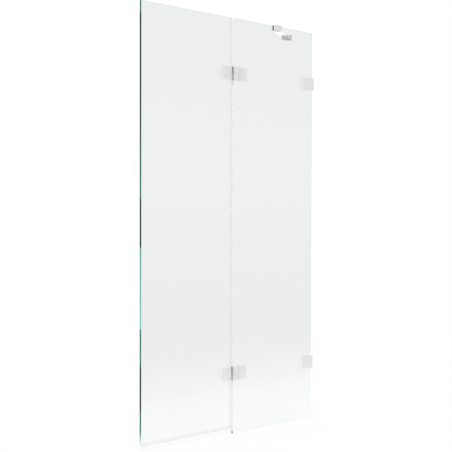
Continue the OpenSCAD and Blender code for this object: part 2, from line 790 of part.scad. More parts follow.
// Rubber lining between the clamp and the glass
module stabiliser_liner() {
    x0 = -stay_x - stay_clamp_w / 2 + edge_chamfer;
    x1 = -stay_x + stay_clamp_w / 2 - edge_chamfer;
    color(rubber)
        on_glass()
            difference() {
                block([x0, glass_front - stay_liner_t, stay_foot_z + edge_chamfer],
                      [x1, glass_back + stay_liner_t, top_z + stay_liner_t]);
                block([x0 - past, glass_front, stay_foot_z - past], [x1 + past, glass_back, top_z]);
            }
}

// Plate that spreads the grub screw's push over the lining
module stabiliser_pressure_plate() {
    color(steel)
        on_glass()
            block([-stay_x - stay_clamp_w / 2 + press_margin, stay_slot_back, stay_foot_z + press_margin],
                  [-stay_x + stay_clamp_w / 2 - press_margin, stay_slot_back + press_t,
                   top_z - press_margin]);
}

module stabiliser_grub_screw() {
    tip = stay_slot_back + press_t;
    head = stay_back - edge_chamfer;
    color(steel)
        on_glass()
            difference() {
                rod_y(grub_x, grub_z, grub_r, tip, head);
                translate([grub_x, head - socket_h, grub_z])
                    rotate([-90, 0, 0])
                        hexagon_rod(2 * socket_h);
            }
}

module stabiliser_bar() {
    depth = pivot_grip + tip_clear;
    color(bright_metal)
        along_bar()
            difference() {
                bar_solid();
                translate([0, 0, bar_top_z - depth]) cylinder(r = stay_screw_r, h = bar_h);
                translate([bar_span, 0, bar_foot_z - bar_h + depth]) cylinder(r = stay_screw_r, h = bar_h);
            }
}

// Washers between the bar and the parts that it turns on when it is fitted
module stabiliser_washers() {
    color(white_plastic)
        along_bar()
            for (place = [[0, bar_top_z], [bar_span, tongue_top_z]])
                translate([place[0], 0, place[1]])
                    difference() {
                        cylinder(r = bar_w / 2 - edge_chamfer, h = stay_washer_t);
                        translate([0, 0, -past])
                            cylinder(r = stay_screw_r + fixing_clear, h = stay_washer_t + 2 * past);
                    }
}

module stabiliser_clamp_pivot() {
    color(steel) along_bar() pivot_screw(stay_top_z, bar_top_z - pivot_grip);
}

module stabiliser_wall_pivot() {
    color(steel)
        along_bar()
            translate([bar_span, 0, 0])
                pivot_screw(tongue_foot_z, bar_foot_z + pivot_grip);
}

// Flange on the wall with a tongue under the bar's end
module stabiliser_wall_flange() {
    half_w = bar_w / 2;
    sink = flange_sink_r - flange_hole_r;
    color(metal)
        on_glass()
            difference() {
                union() {
                    bevelled_block([-flange_t, bar_wall_y - half_w, tongue_foot_z],
                                   [0, bar_wall_y + half_w, flange_top_z], edge_chamfer);
                    block([-bar_wall_x, bar_wall_y - half_w + edge_chamfer, tongue_foot_z + edge_chamfer],
                          [-flange_t + edge_chamfer, bar_wall_y + half_w - edge_chamfer, tongue_top_z]);
                    translate([-bar_wall_x, bar_wall_y, tongue_foot_z])
                        cylinder(r = half_w - edge_chamfer, h = tongue_t);
                }
                translate([-bar_wall_x, bar_wall_y, tongue_foot_z - past])
                    cylinder(r = stay_screw_r + fixing_clear, h = tongue_t + 2 * past);
                translate([-bar_wall_x, bar_wall_y, tongue_foot_z - screw_head_h])
                    cylinder(r = screw_head_r + fixing_clear, h = 2 * screw_head_h);
                translate([-flange_t, bar_wall_y, flange_hole_z])
                    rotate([0, 90, 0]) {
                        translate([0, 0, -past]) cylinder(r = flange_hole_r, h = flange_t + 2 * past);
                        cylinder(r1 = flange_sink_r, r2 = flange_hole_r, h = sink);
                    }
            }
}

fixed_glass();
moving_glass();
joint_seal();
drip_seal();
upper_hinge_moving_leaf();
upper_hinge_fixed_leaf();
upper_hinge_pin();
upper_hinge_bush();
upper_hinge_top_cap();
upper_hinge_bottom_cap();
upper_hinge_moving_pad();
upper_hinge_fixed_pad();
upper_hinge_moving_sleeves();
upper_hinge_fixed_sleeves();
upper_hinge_moving_discs();
upper_hinge_fixed_discs();
upper_hinge_moving_screws();
upper_hinge_fixed_screws();
lower_hinge_moving_leaf();
lower_hinge_fixed_leaf();
lower_hinge_pin();
lower_hinge_bush();
lower_hinge_top_cap();
lower_hinge_bottom_cap();
lower_hinge_moving_pad();
lower_hinge_fixed_pad();
lower_hinge_moving_sleeves();
lower_hinge_fixed_sleeves();
lower_hinge_moving_discs();
lower_hinge_fixed_discs();
lower_hinge_moving_screws();
lower_hinge_fixed_screws();
upper_clamp_front_plate();
upper_clamp_wall_bracket();
upper_clamp_front_pad();
upper_clamp_rear_pad();
upper_clamp_sleeves();
upper_clamp_screws();
lower_clamp_front_plate();
lower_clamp_wall_bracket();
lower_clamp_front_pad();
lower_clamp_rear_pad();
lower_clamp_sleeves();
lower_clamp_screws();
stabiliser_glass_clamp();
stabiliser_liner();
stabiliser_pressure_plate();
stabiliser_grub_screw();
stabiliser_bar();
stabiliser_washers();
stabiliser_clamp_pivot();
stabiliser_wall_pivot();
stabiliser_wall_flange();
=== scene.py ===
"""Looks of a two-panel glass bath screen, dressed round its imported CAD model.

The screen stands on a bath's rim. A fixed glass panel is held on the wall, at +X, by two clamps
and a stabiliser bar, and a moving panel hangs on it by two butt hinges. X runs to the wall, Y
from the room to the bath, Z up, and the origin is the lower wall bracket's screw pattern.

Every length in this script is in millimetres, and becomes metres only where a mesh, a shader, a
camera or a lamp is made. Glass, seals, gaskets and the rubber lining are new meshes, and all
other pieces are the CAD model's own nodes with new finishes.
"""

import logging
import math
from abc import ABC, abstractmethod
from dataclasses import dataclass
from enum import Enum

import bpy
import numpy as np
from mathutils import Matrix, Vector
from mathutils.geometry import delaunay_2d_cdt


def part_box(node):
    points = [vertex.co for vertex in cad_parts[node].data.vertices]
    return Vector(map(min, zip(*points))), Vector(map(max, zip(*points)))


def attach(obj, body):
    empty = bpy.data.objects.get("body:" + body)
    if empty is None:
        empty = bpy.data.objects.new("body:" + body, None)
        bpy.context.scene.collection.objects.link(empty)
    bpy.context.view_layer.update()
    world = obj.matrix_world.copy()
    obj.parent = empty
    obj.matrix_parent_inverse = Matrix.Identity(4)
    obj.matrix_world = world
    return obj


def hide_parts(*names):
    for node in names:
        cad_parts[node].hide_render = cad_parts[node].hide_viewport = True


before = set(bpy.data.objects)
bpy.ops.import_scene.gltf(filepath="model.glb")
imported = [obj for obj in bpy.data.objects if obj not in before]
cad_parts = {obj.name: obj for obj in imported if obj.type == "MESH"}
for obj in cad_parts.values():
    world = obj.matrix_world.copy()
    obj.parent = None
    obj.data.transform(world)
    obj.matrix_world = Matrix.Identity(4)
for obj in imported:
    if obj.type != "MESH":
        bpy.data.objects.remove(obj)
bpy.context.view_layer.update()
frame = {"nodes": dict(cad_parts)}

log = logging.getLogger("bath_screen")

METRES = 0.001
# A ray through the vertical seal's bulb and back crosses more clear walls than the usual eight
CLEAR_WALLS = 32
# Sides of an outline that are longer than this are straight, and their rims are shaded flat
LONGEST_CHORD = 1.2
# Chords in each rounded corner of a sheet or pad, and in each quarter turn of a rim
CORNER_STEPS = 5
ARRIS_STEPS = 3
# Most values of a noise lie between these two
NOISE_SPREAD = (0.3, 0.7)

Rgb = tuple[float, float, float]
Place = tuple[float, float, float]
Point = tuple[float, float]


class Body(Enum):
    """CAD bodies that a piece can ride on."""

    FIXED = "fixed_panel"
    MOVING = "moving_panel"


class Slot(Enum):
    """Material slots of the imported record."""

    GLASS = "glass"
    CHROME = "chrome"
    STEEL = "steel"
    CLEAR_PLASTIC = "clear_plastic"
    NYLON = "nylon"
    RUBBER = "rubber"


class Axes(Enum):
    """Where an outline's two directions and its depth direction point in the part's frame."""

    SHEET = ((1, 0, 0), (0, 0, 1), (0, 1, 0))
    ALONG_X = ((0, 1, 0), (0, 0, 1), (1, 0, 0))
    ALONG_Z = ((1, 0, 0), (0, 1, 0), (0, 0, 1))

    def matrix(self) -> np.ndarray:
        """Rows are the outline's two directions and the depth direction."""
        return np.array(self.value, float)


class EdgeShade(Enum):
    """The glass's own green at a cut edge, in darker and lighter tones that make up painted
    reflections and painted light, from darkest to near white.
    """

    DEEP = (0.000, 0.018, 0.012)
    DARK = (0.000, 0.032, 0.020)
    MIDDLE = (0.012, 0.210, 0.150)
    LIGHT = (0.060, 0.400, 0.310)
    PALE = (0.150, 0.620, 0.520)
    NEAR_WHITE = (0.880, 0.910, 0.900)


@dataclass(frozen=True)
class Layout:
    """Main places of the screen, as the CAD model has them."""

    glass_y: float = -29.0
    glass_thickness: float = 6.0
    foot: float = -220.0
    top: float = 1280.0
    moving_foot: float = -199.0
    free_edge: float = -1000.0
    moving_edge: float = -510.0
    fixed_edge: float = -502.0
    hinge_heights: tuple[float, float] = (0.0, 1080.0)

    def above_foot(self, height: float) -> float:
        """Share of the screen's height, from 0 at its foot to 1 at its top."""
        return height / (self.top - self.foot)


LAYOUT = Layout()


class ShaderGraph:
    """Adds nodes to a node tree and links them."""

    def __init__(self, tree: bpy.types.NodeTree) -> None:
        """Empties the tree and keeps it."""
        tree.nodes.clear()
        self.tree = tree

    def add(self, kind: str, **settings: object) -> bpy.types.Node:
        """Adds a node and sets its own properties.

        Args:
            kind: Blender's identifier of the node.
            settings: Names and values of the node's properties.

        Returns:
            The new node.
        """
        node = self.tree.nodes.new(kind)
        for name, value in settings.items():
            setattr(node, name, value)
        return node

    def link(self, source: bpy.types.NodeSocket, target: bpy.types.NodeSocket) -> None:
        """Links an output socket to an input socket."""
        self.tree.links.new(source, target)

    def math(self, operation: str, first: bpy.types.NodeSocket,
             second: bpy.types.NodeSocket) -> bpy.types.NodeSocket:
        """Adds a Math node.

        Args:
            operation: The node's operation, such as ADD.
            first: The socket of the first number.
            second: The socket of the second number.

        Returns:
            The node's result.
        """
        node = self.add("ShaderNodeMath", operation=operation)
        self.link(first, node.inputs[0])
        self.link(second, node.inputs[1])
        return node.outputs[0]

    def span(self, value: bpy.types.NodeSocket, low: float, high: float,
             to_low: float = 0.0, to_high: float = 1.0) -> bpy.types.NodeSocket:
        """Adds a Map Range node that is clamped at both ends.

        Args:
            value: The socket to map.
            low: The value that becomes to_low.
            high: The value that becomes to_high.
            to_low: Result at low.
            to_high: Result at high.

        Returns:
            The node's result.
        """
        node = self.add("ShaderNodeMapRange", clamp=True)
        self.link(value, node.inputs["Value"])
        for name, number in (("From Min", low), ("From Max", high),
                             ("To Min", to_low), ("To Max", to_high)):
            node.inputs[name].default_value = number
        return node.outputs["Result"]

    def ramp(self, value: bpy.types.NodeSocket, stops: list[tuple[float, Rgb]],
             interpolation: str = "LINEAR") -> bpy.types.NodeSocket:
        """Adds a Color Ramp.

        Args:
            value: The socket that runs along the ramp.
            stops: Place and colour of each stop, in order of place.
            interpolation: The ramp's interpolation.

        Returns:
            The ramp's colour.
        """
        node = self.add("ShaderNodeValToRGB")
        ramp = node.color_ramp
        ramp.interpolation = interpolation
        for index, (place, colour) in enumerate(stops):
            stop = ramp.elements[index] if index < 2 else ramp.elements.new(place)
            stop.position = place
            stop.color = (*colour, 1.0)
        self.link(value, node.inputs["Fac"])
        return node.outputs["Color"]

    def noise(self, size: float, detail: float = 2.0) -> bpy.types.NodeSocket:
        """Adds a noise on Object coordinates.

        Args:
            size: Size of one blot in millimetres.
            detail: Octaves of finer noise.

        Returns:
            The noise, from 0 to 1.
        """
        place = self.add("ShaderNodeTexCoord")
        node = self.add("ShaderNodeTexNoise")
        node.inputs["Scale"].default_value = 1.0 / (size * METRES)
        node.inputs["Detail"].default_value = detail
        self.link(place.outputs["Object"], node.inputs["Vector"])
        return node.outputs["Fac"]

    def clouded(self, noise: bpy.types.NodeSocket, tint: Rgb, tone: float) -> bpy.types.NodeSocket:
        """Adds a ramp along a noise, from the tint times a tone to the tint itself."""
        darker = tuple(channel * tone for channel in tint)
        return self.ramp(noise, list(zip(NOISE_SPREAD, (darker, tint))))

    def bump(self, height: bpy.types.NodeSocket, depth: float) -> bpy.types.NodeSocket:
        """Adds a Bump node.

        Args:
            height: The relief, from 0 to 1.
            depth: Height of the relief in millimetres.

        Returns:
            The bent normal.
        """
        node = self.add("ShaderNodeBump")
        node.inputs["Distance"].default_value = depth * METRES
        self.link(height, node.inputs["Height"])
        return node.outputs["Normal"]

    def height_share(self) -> bpy.types.NodeSocket:
        """Adds nodes for a point's height in the screen, from Object coordinates.

        Returns:
            The height, from 0 at the screen's foot to 1 at its top.
        """
        place = self.add("ShaderNodeTexCoord")
        parts = self.add("ShaderNodeSeparateXYZ")
        self.link(place.outputs["Object"], parts.inputs[0])
        return self.span(parts.outputs["Z"], LAYOUT.foot * METRES, LAYOUT.top * METRES)


@dataclass(frozen=True)
class Finish(ABC):
    """A named finish that one slot of the record stands for."""

    name: str
    slot: Slot

    @abstractmethod
    def paint(self, graph: ShaderGraph, shader: bpy.types.Node) -> None:
        """Sets the Principled shader's sockets and links the finish's nodes to it."""

    def material(self) -> bpy.types.Material:
        """Makes the material once, and finds the same one later.

        Returns:
            The finish's material.
        """
        made = bpy.data.materials.get(self.name)
        if made is not None:
            return made
        made = bpy.data.materials.new(self.name)
        made.use_nodes = True
        graph = ShaderGraph(made.node_tree)
        shader = graph.add("ShaderNodeBsdfPrincipled")
        output = graph.add("ShaderNodeOutputMaterial")
        graph.link(shader.outputs[0], output.inputs["Surface"])
        self.paint(graph, shader)
        log.info("finish %s for slot %s", self.name, self.slot.value)
        return made


@dataclass(frozen=True)
class GlassFace(Finish):
    """Clear toughened glass with a faint green tint, and a painted reflection that makes it greyer
    at knee height than at its foot.
    """

    ior: float = 1.52
    wave_size: float = 260.0
    wave_detail: float = 0.0
    wave_depth: float = 0.004
    # Tones of the painted reflection, from the foot up to the top
    foot_tone: float = 0.967
    foot_fade: float = 0.01
    knee_tone: float = 0.848
    knee_rise: float = 0.015
    chest_tone: float = 0.886
    top_tone: float = 0.867
    taken: Rgb = (0.013, 0.0, 0.006)

    def tones(self) -> list[tuple[float, Rgb]]:
        """Tone of the painted reflection at each height above the foot, less the red and blue that
        the glass's own tint takes.

        Returns:
            Share of the screen's height and colour of each stop.
        """
        stops = (
            (60.0, self.foot_tone),
            (115.0, self.foot_tone - self.foot_fade),
            (210.0, (self.foot_tone + self.knee_tone) / 2),
            (310.0, self.knee_tone + self.knee_rise),
            (400.0, self.knee_tone),
            (630.0, (self.knee_tone + self.chest_tone) / 2),
            (930.0, self.chest_tone),
            (1500.0, self.top_tone),
        )
        return [(LAYOUT.above_foot(height), tuple(tone - part for part in self.taken))
                for height, tone in stops]

    def paint(self, graph: ShaderGraph, shader: bpy.types.Node) -> None:
        """Glass with a painted reflection's tone along its height and the faint waves of
        toughening.

        Args:
            graph: Adds nodes to the material.
            shader: The material's Principled shader.
        """
        shader.inputs["Transmission Weight"].default_value = 1.0
        shader.inputs["IOR"].default_value = self.ior
        shader.inputs["Roughness"].default_value = 0.0
        # Painted reflection: the tone ramp along the screen's height
        tone = graph.ramp(graph.height_share(), self.tones(), "EASE")
        graph.link(tone, shader.inputs["Base Color"])
        waves = graph.bump(graph.noise(self.wave_size, self.wave_detail), self.wave_depth)
        graph.link(waves, shader.inputs["Normal"])


@dataclass(frozen=True)
class GlassEdge(Finish):
    """Polished edge of the glass: green from outside, clear from inside the sheet."""

    bands: tuple[tuple[float, EdgeShade], ...] = ()
    ior: float = 1.52
    inside_tone: float = 0.97
    rough: float = 0.12
    gloss: float = 0.05

    def paint(self, graph: ShaderGraph, shader: bpy.types.Node) -> None:
        """Bands along the height, the glass's green painted lighter and darker as painted
        reflections and painted light, mixed to clear glass on the faces' inner side.

        Args:
            graph: Adds nodes to the material.
            shader: The material's Principled shader.
        """
        shader.inputs["IOR"].default_value = self.ior
        shader.inputs["Roughness"].default_value = self.rough
        shader.inputs["Specular IOR Level"].default_value = self.gloss
        stops = [(LAYOUT.above_foot(height), shade.value) for height, shade in self.bands]
        green = graph.ramp(graph.height_share(), stops)
        side = graph.add("ShaderNodeNewGeometry")
        mix = graph.add("ShaderNodeMix", data_type="RGBA")
        graph.link(side.outputs["Backfacing"], mix.inputs["Factor"])
        graph.link(green, mix.inputs[6])
        mix.inputs[7].default_value = (self.inside_tone,) * 3 + (1.0,)
        graph.link(mix.outputs[2], shader.inputs["Base Color"])
        graph.link(side.outputs["Backfacing"], shader.inputs["Transmission Weight"])


@dataclass(frozen=True)
class Metal(Finish):
    """Bright metal with faint polishing haze and fine grain."""

    tint: Rgb = (0.985, 0.985, 0.985)
    smooth: float = 0.10
    hazy: float = 0.16
    haze_size: float = 22.0
    haze_detail: float = 3.0
    haze_spread: tuple[float, float] = (0.35, 0.65)
    cloud_detail: float = 1.0
    cloud_tone: float = 0.98
    grain_size: float = 0.35
    grain_depth: float = 0.0004

    def paint(self, graph: ShaderGraph, shader: bpy.types.Node) -> None:
        """Metal whose roughness drifts a little over each piece.

        Args:
            graph: Adds nodes to the material.
            shader: The material's Principled shader.
        """
        self.colour(graph, shader)
        shader.inputs["Metallic"].default_value = 1.0
        haze = graph.noise(self.haze_size, self.haze_detail)
        graph.link(graph.span(haze, *self.haze_spread, self.smooth, self.hazy),
                   shader.inputs["Roughness"])
        grain = graph.bump(graph.noise(self.grain_size), self.grain_depth)
        graph.link(grain, shader.inputs["Normal"])

    def colour(self, graph: ShaderGraph, shader: bpy.types.Node) -> None:
        """Links one tint with darker and lighter clouds that are hardly seen."""
        clouds = graph.noise(self.haze_size, self.cloud_detail)
        graph.link(graph.clouded(clouds, self.tint, self.cloud_tone), shader.inputs["Base Color"])


@dataclass(frozen=True)
class PaintedShadeMetal(Metal):
    """Metal with painted shade: its tint darkens by distance from an axis or plane, in recesses and
    beside parts that stand proud.
    """

    origin: Place = (0.0, 0.0, 0.0)
    across: Place = (1.0, 1.0, 0.0)
    tones: tuple[tuple[float, float], ...] = ((0.0, 1.0), (100.0, 1.0))

    def colour(self, graph: ShaderGraph, shader: bpy.types.Node) -> None:
        """Tint times the painted shade's tone at a distance.

        The distance is the length of the Object coordinates less the origin, each of the three
        times its share in across.

        Args:
            graph: Adds nodes to the material.
            shader: The material's Principled shader.
        """
        place = graph.add("ShaderNodeTexCoord")
        away = graph.add("ShaderNodeVectorMath", operation="MULTIPLY_ADD")
        graph.link(place.outputs["Object"], away.inputs[0])
        away.inputs[1].default_value = self.across
        away.inputs[2].default_value = [
            -start * METRES * share for start, share in zip(self.origin, self.across)]
        distance = graph.add("ShaderNodeVectorMath", operation="LENGTH")
        graph.link(away.outputs[0], distance.inputs[0])
        reach = self.tones[-1][0]
        share = graph.span(distance.outputs["Value"], 0.0, reach * METRES)
        stops = [(far / reach, tuple(channel * tone for channel in self.tint))
                 for far, tone in self.tones]
        graph.link(graph.ramp(share, stops), shader.inputs["Base Color"])


@dataclass(frozen=True)
class SoftPlastic(Finish):
    """Moulded plastic or rubber, clear or solid, with a soft sheen."""

    tint: Rgb = (0.9, 0.9, 0.9)
    cover: float = 1.0
    ior: float = 1.46
    smooth: float = 0.25
    dull: float = 0.4
    blot_size: float = 9.0
    blot_tone: float = 0.97
    skin_size: float = 0.6
    skin_depth: float = 0.003

    def paint(self, graph: ShaderGraph, shader: bpy.types.Node) -> None:
        """Plastic whose tint and sheen vary a little, with a moulded skin.

        Args:
            graph: Adds nodes to the material.
            shader: The material's Principled shader.
        """
        shader.inputs["Alpha"].default_value = self.cover
        shader.inputs["IOR"].default_value = self.ior
        blots = graph.noise(self.blot_size)
        graph.link(graph.clouded(blots, self.tint, self.blot_tone), shader.inputs["Base Color"])
        graph.link(graph.span(blots, *NOISE_SPREAD, self.smooth, self.dull),
                   shader.inputs["Roughness"])
        skin = graph.bump(graph.noise(self.skin_size), self.skin_depth)
        graph.link(skin, shader.inputs["Normal"])


# Heights above the screen's foot at which the free edge changes its green: painted reflections in
# light and dark bands, with painted light at the foot, where the drip seal covers it
FREE_EDGE_PAINTED_BANDS = (
    (24.0, EdgeShade.NEAR_WHITE),
    (62.0, EdgeShade.LIGHT),
    (72.0, EdgeShade.MIDDLE),
    (132.0, EdgeShade.MIDDLE),
    (142.0, EdgeShade.DARK),
    (286.0, EdgeShade.DARK),
    (296.0, EdgeShade.MIDDLE),
    (410.0, EdgeShade.MIDDLE),
    (416.0, EdgeShade.PALE),
    (680.0, EdgeShade.LIGHT),
    (686.0, EdgeShade.DARK),
    (842.0, EdgeShade.DARK),
    (848.0, EdgeShade.MIDDLE),
    (1170.0, EdgeShade.DARK),
    (1458.0, EdgeShade.DEEP),
    (1464.0, EdgeShade.MIDDLE),
)
# The seal covers the joint's edges down to its own foot, and there the edges are painted near
# white, painted light that stands for the lit seal; below it they are green
JOINT_EDGE_PAINTED_BANDS = (
    (8.5, EdgeShade.MIDDLE),
    (9.5, EdgeShade.NEAR_WHITE),
)
PLAIN_EDGE_BANDS = (
    (0.0, EdgeShade.NEAR_WHITE),
    (1500.0, EdgeShade.NEAR_WHITE),
)
# Distance from the hinge's axis and tone of painted shade: the barrel, the recess beside it painted
# dark, then the leaf's plate, painted darker near the barrel, out to its end
HINGE_PAINTED_SHADE_TONES = (
    (9.8, 0.98),
    (10.6, 0.94),
    (11.2, 0.86),
    (11.6, 0.78),
    (16.1, 0.78),
    (16.5, 0.88),
    (32.0, 0.945),
    (60.0, 1.0),
)
# Distance from the wall and tone of painted shade: the flange's sides, its front behind the bar,
# then the tongue, darkest behind the bar, with a narrow band 18 from the wall painted lighter
FLANGE_PAINTED_SHADE_TONES = (
    (0.0, 0.94),
    (11.0, 0.82),
    (16.5, 0.40),
    (17.6, 0.40),
    (17.9, 0.85),
    (18.1, 0.85),
    (18.5, 0.42),
    (30.0, 0.52),
    (54.0, 0.62),
)

FACE = GlassFace("glass_face", Slot.GLASS)
FREE_EDGE = GlassEdge("glass_free_edge", Slot.GLASS, FREE_EDGE_PAINTED_BANDS)
JOINT_EDGE = GlassEdge("glass_joint_edge", Slot.GLASS, JOINT_EDGE_PAINTED_BANDS)
PLAIN_EDGE = GlassEdge("glass_plain_edge", Slot.GLASS, PLAIN_EDGE_BANDS)
CHROME = Metal("polished_chrome", Slot.CHROME)
CAST_CHROME = Metal("cast_chrome", Slot.CHROME, tint=(0.93, 0.93, 0.93))
# The painted shade's axis stands a little to the right of the pivot, so the barrel is painted
# darker on its left
HINGE_CHROME_PAINTED_SHADE = PaintedShadeMetal("hinge_chrome", Slot.CHROME, origin=(-504.8, -43.3, 0.0),
                           tones=HINGE_PAINTED_SHADE_TONES)
SATIN_PAINTED_SHADE = PaintedShadeMetal("satin_chrome_painted_shade", Slot.CHROME, across=(1.0, 0.0, 0.0), tones=FLANGE_PAINTED_SHADE_TONES,
                    smooth=0.26, hazy=0.34)
STEEL = Metal("stainless_steel", Slot.STEEL, tint=(0.62, 0.61, 0.60), smooth=0.22, hazy=0.32,
              haze_size=6.0, grain_size=0.2, grain_depth=0.0015)
CLEAR = SoftPlastic("clear_soft_plastic", Slot.CLEAR_PLASTIC, tint=(0.80, 0.815, 0.81),
                    cover=0.05, skin_depth=0.001)
NYLON = SoftPlastic("white_nylon", Slot.NYLON, tint=(0.82, 0.82, 0.79), smooth=0.4, dull=0.55)
RUBBER = SoftPlastic("grey_rubber", Slot.RUBBER, tint=(0.115, 0.12, 0.12), smooth=0.5,
                     dull=0.7, ior=1.5, blot_tone=0.85)
CAD_FINISHES = {
    Slot.CHROME: CHROME,
    Slot.STEEL: STEEL,
    Slot.CLEAR_PLASTIC: CLEAR,
    Slot.NYLON: NYLON,
}
# Nodes that are made another way than their slot's other pieces; the wall flange's satin chrome
# carries painted shade
NODE_FINISHES = {
    "stabiliser_glass_clamp": CAST_CHROME,
    "stabiliser_wall_flange": SATIN_PAINTED_SHADE,
}


def circle(centre: Point, radius: float, count: int = 48) -> np.ndarray:
    """Clockwise circle: its centre, plus the radius times cosine and minus sine of each angle."""
    angle = np.linspace(0.0, 2.0 * np.pi, count, endpoint=False)
    return np.array(centre) + radius * np.stack([np.cos(angle), -np.sin(angle)], axis=1)


def softened(corners: np.ndarray, reach: np.ndarray | float, steps: int = 4) -> np.ndarray:
    """Closed outline with each corner rounded.

    Each corner is replaced by the parabola that starts on the side before it and ends on the
    side after it, both at that corner's reach, with the corner as its control point.

    Args:
        corners: One row for each corner, in order.
        reach: Distance from each corner to the ends of its curve.
        steps: Number of chords in each curve.

    Returns:
        One row for each point of the rounded outline.
    """
    reach = np.broadcast_to(np.asarray(reach, float), len(corners))[:, None]
    before = np.roll(corners, 1, axis=0) - corners
    after = np.roll(corners, -1, axis=0) - corners
    start = corners + reach * before / np.linalg.norm(before, axis=1, keepdims=True)
    end = corners + reach * after / np.linalg.norm(after, axis=1, keepdims=True)
    way = np.linspace(0.0, 1.0, steps + 1)[None, :, None]
    curve = ((1 - way) ** 2 * start[:, None] + 2 * way * (1 - way) * corners[:, None]
             + way ** 2 * end[:, None])
    return curve.reshape(-1, 2)


def listed(section: list[tuple[Point, float]]) -> tuple[np.ndarray, np.ndarray]:
    """Corners of a section and the reach of each one's rounding, as two arrays."""
    return np.array([corner for corner, _ in section]), np.array([reach for _, reach in section])


def rectangle(low: Point, high: Point) -> np.ndarray:
    """Four corners of an upright rectangle, anticlockwise from its lowest."""
    return np.array([low, (high[0], low[1]), high, (low[0], high[1])], float)


def inward(outline: np.ndarray) -> np.ndarray:
    """Direction in which each point of an outline moves when the outline is drawn in.

    It is the sum of the left-hand normals of the two sides that meet there, divided by one plus
    their dot product, so that each side moves by exactly one unit.

    Args:
        outline: Closed outline with the material on its left.

    Returns:
        One row for each point.
    """
    side = np.roll(outline, -1, axis=0) - outline
    side /= np.linalg.norm(side, axis=1, keepdims=True)
    after = np.stack([-side[:, 1], side[:, 0]], axis=1)
    before = np.roll(after, 1, axis=0)
    return (before + after) / (1.0 + (before * after).sum(axis=1, keepdims=True))


def round_rim(low: float, high: float, radius: float,
              border: float) -> tuple[np.ndarray, np.ndarray]:
    """Profile of a plate's rim with two rounded arrises.

    Along the first quarter turn the inset is the radius times one minus the sine of the angle,
    and the depth is the radius times one minus its cosine. The second quarter mirrors it. A
    border adds one point to each face, further in by its width.

    Args:
        low: Depth of the plate's first face.
        high: Depth of its second face.
        radius: Radius of the arrises, where 0 leaves them sharp.
        border: Width of the border on each face.

    Returns:
        Inset and depth of each point of the profile.
    """
    if radius == 0.0:
        return np.zeros(2), np.array([low, high])
    angle = np.linspace(0.0, np.pi / 2.0, ARRIS_STEPS + 1)
    inset = radius * (1.0 - np.sin(angle))
    depth = radius * (1.0 - np.cos(angle))
    if border > 0.0:
        inset = np.concatenate([[radius + border], inset])
        depth = np.concatenate([[0.0], depth])
    return (np.concatenate([inset, inset[::-1]]),
            np.concatenate([low + depth, high - depth[::-1]]))


def fill(outlines: list[np.ndarray]) -> np.ndarray:
    """Triangles between an outer outline and its holes, all anticlockwise.

    Args:
        outlines: The outer outline, then any holes.

    Returns:
        Three point numbers for each triangle, counted through the outlines in order.
    """
    inside_with_holes = 2
    tolerance = 1e-5
    points = np.concatenate(outlines)
    starts = np.cumsum([0] + [len(outline) for outline in outlines])
    rings = [list(range(start, end)) for start, end in zip(starts[:-1], starts[1:])]
    _, _, faces, sources, _, _ = delaunay_2d_cdt(points.tolist(), [], rings, inside_with_holes,
                                                 tolerance)
    source = np.array([found[0] for found in sources])
    return source[np.array(faces)]


def node_box(node: str) -> tuple[np.ndarray, np.ndarray]:
    """Lowest and highest corner of a CAD node's box, in millimetres."""
    low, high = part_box(node)
    return np.array(low) / METRES, np.array(high) / METRES


def front_outline(low: np.ndarray, high: np.ndarray, corner: float) -> np.ndarray:
    """Outline of a box seen from the front, with rounded corners."""
    return softened(rectangle((low[0], low[2]), (high[0], high[2])), corner, CORNER_STEPS)


